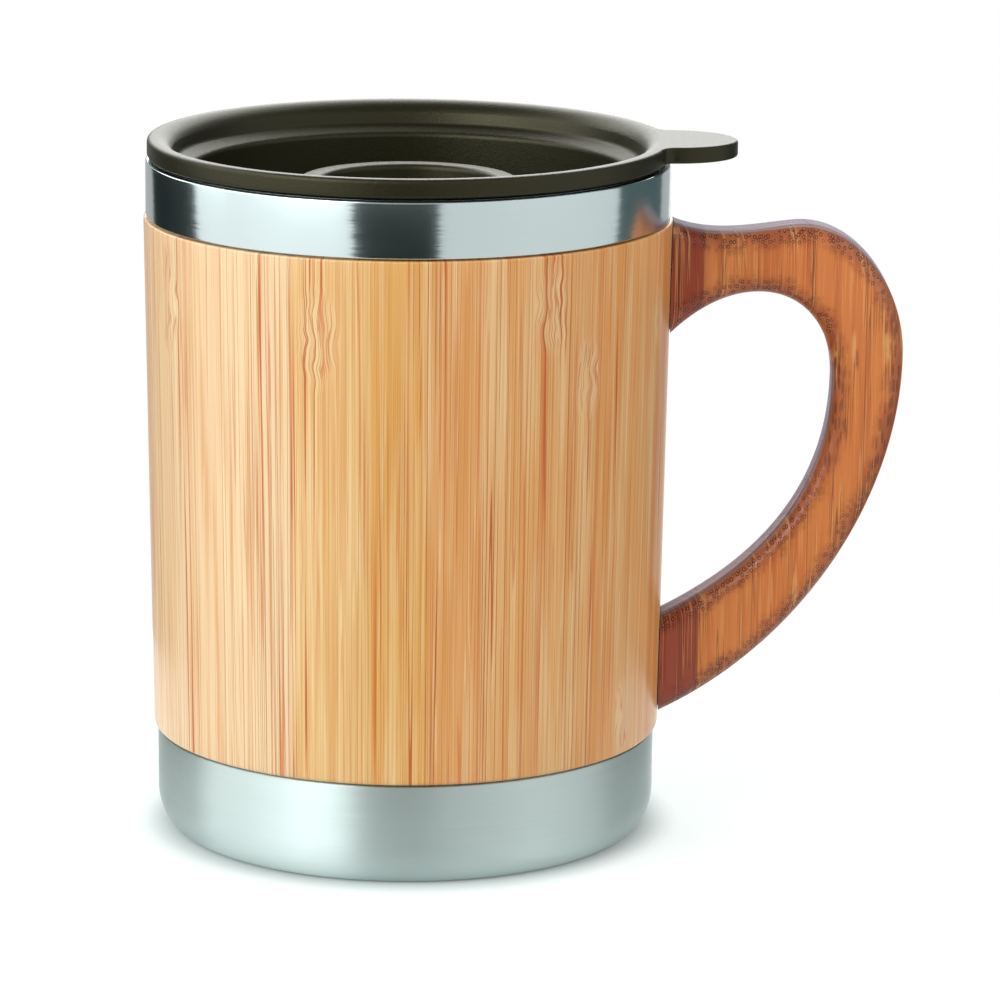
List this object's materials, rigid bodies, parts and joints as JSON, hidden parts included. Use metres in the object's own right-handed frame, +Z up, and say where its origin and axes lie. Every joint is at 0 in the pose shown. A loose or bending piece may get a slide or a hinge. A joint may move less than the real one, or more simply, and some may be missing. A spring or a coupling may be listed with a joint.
{
  "type": "double-walled cup",
  "caption": "Double-walled steel cup with a tapered bamboo sleeve, a flat bamboo ear handle, a brushed steel base and a press-in lid with a thumb tab and a turning drink closure.",
  "frame": {"origin": "middle of the base's flat resting face, on the cup's axis", "axes": "+Z up along the cup's axis, +X towards the handle, +Y to the left of someone who looks along +X"},
  "size_m": [0.1225, 0.085, 0.1129],
  "materials": {
    "base_steel": "brushed round the axis, satin",
    "shell_steel": "polished band with faint turning marks",
    "liner_steel": "satin drawn steel",
    "sleeve_bamboo": "glued light bamboo strips, clear satin lacquer",
    "handle_bamboo": "caramelised bamboo board, clear satin lacquer",
    "lid_plastic": "dark olive-brown moulded plastic with a fine grain",
    "dial_plastic": "dark olive-brown moulded plastic with a fine grain",
    "gasket_silicone": "translucent grey silicone",
    "screw_steel": "plain bright steel"
  },
  "bodies": {
    "cup": {"base_cap": "base_steel", "outer_shell": "shell_steel", "inner_liner": "liner_steel", "bamboo_sleeve": "sleeve_bamboo", "handle": "handle_bamboo", "upper_handle_screw": "screw_steel", "lower_handle_screw": "screw_steel"},
    "lid": {"lid_body": "lid_plastic", "lid_gasket": "gasket_silicone"},
    "closure": {"closure_dial": "dial_plastic", "closure_shutter": "dial_plastic", "closure_screw": "screw_steel"}
  },
  "joints": [
    {"name": "lid_lift", "type": "slide", "parent": "cup", "child": "lid", "axis": [0, 0, 1], "range_m": [0, 0.04]},
    {"name": "dial_turn", "type": "hinge", "parent": "lid", "child": "closure", "pos_m": [0, 0, 0.1], "axis": [0, 0, 1], "range_deg": [0, 70]}
  ]
}
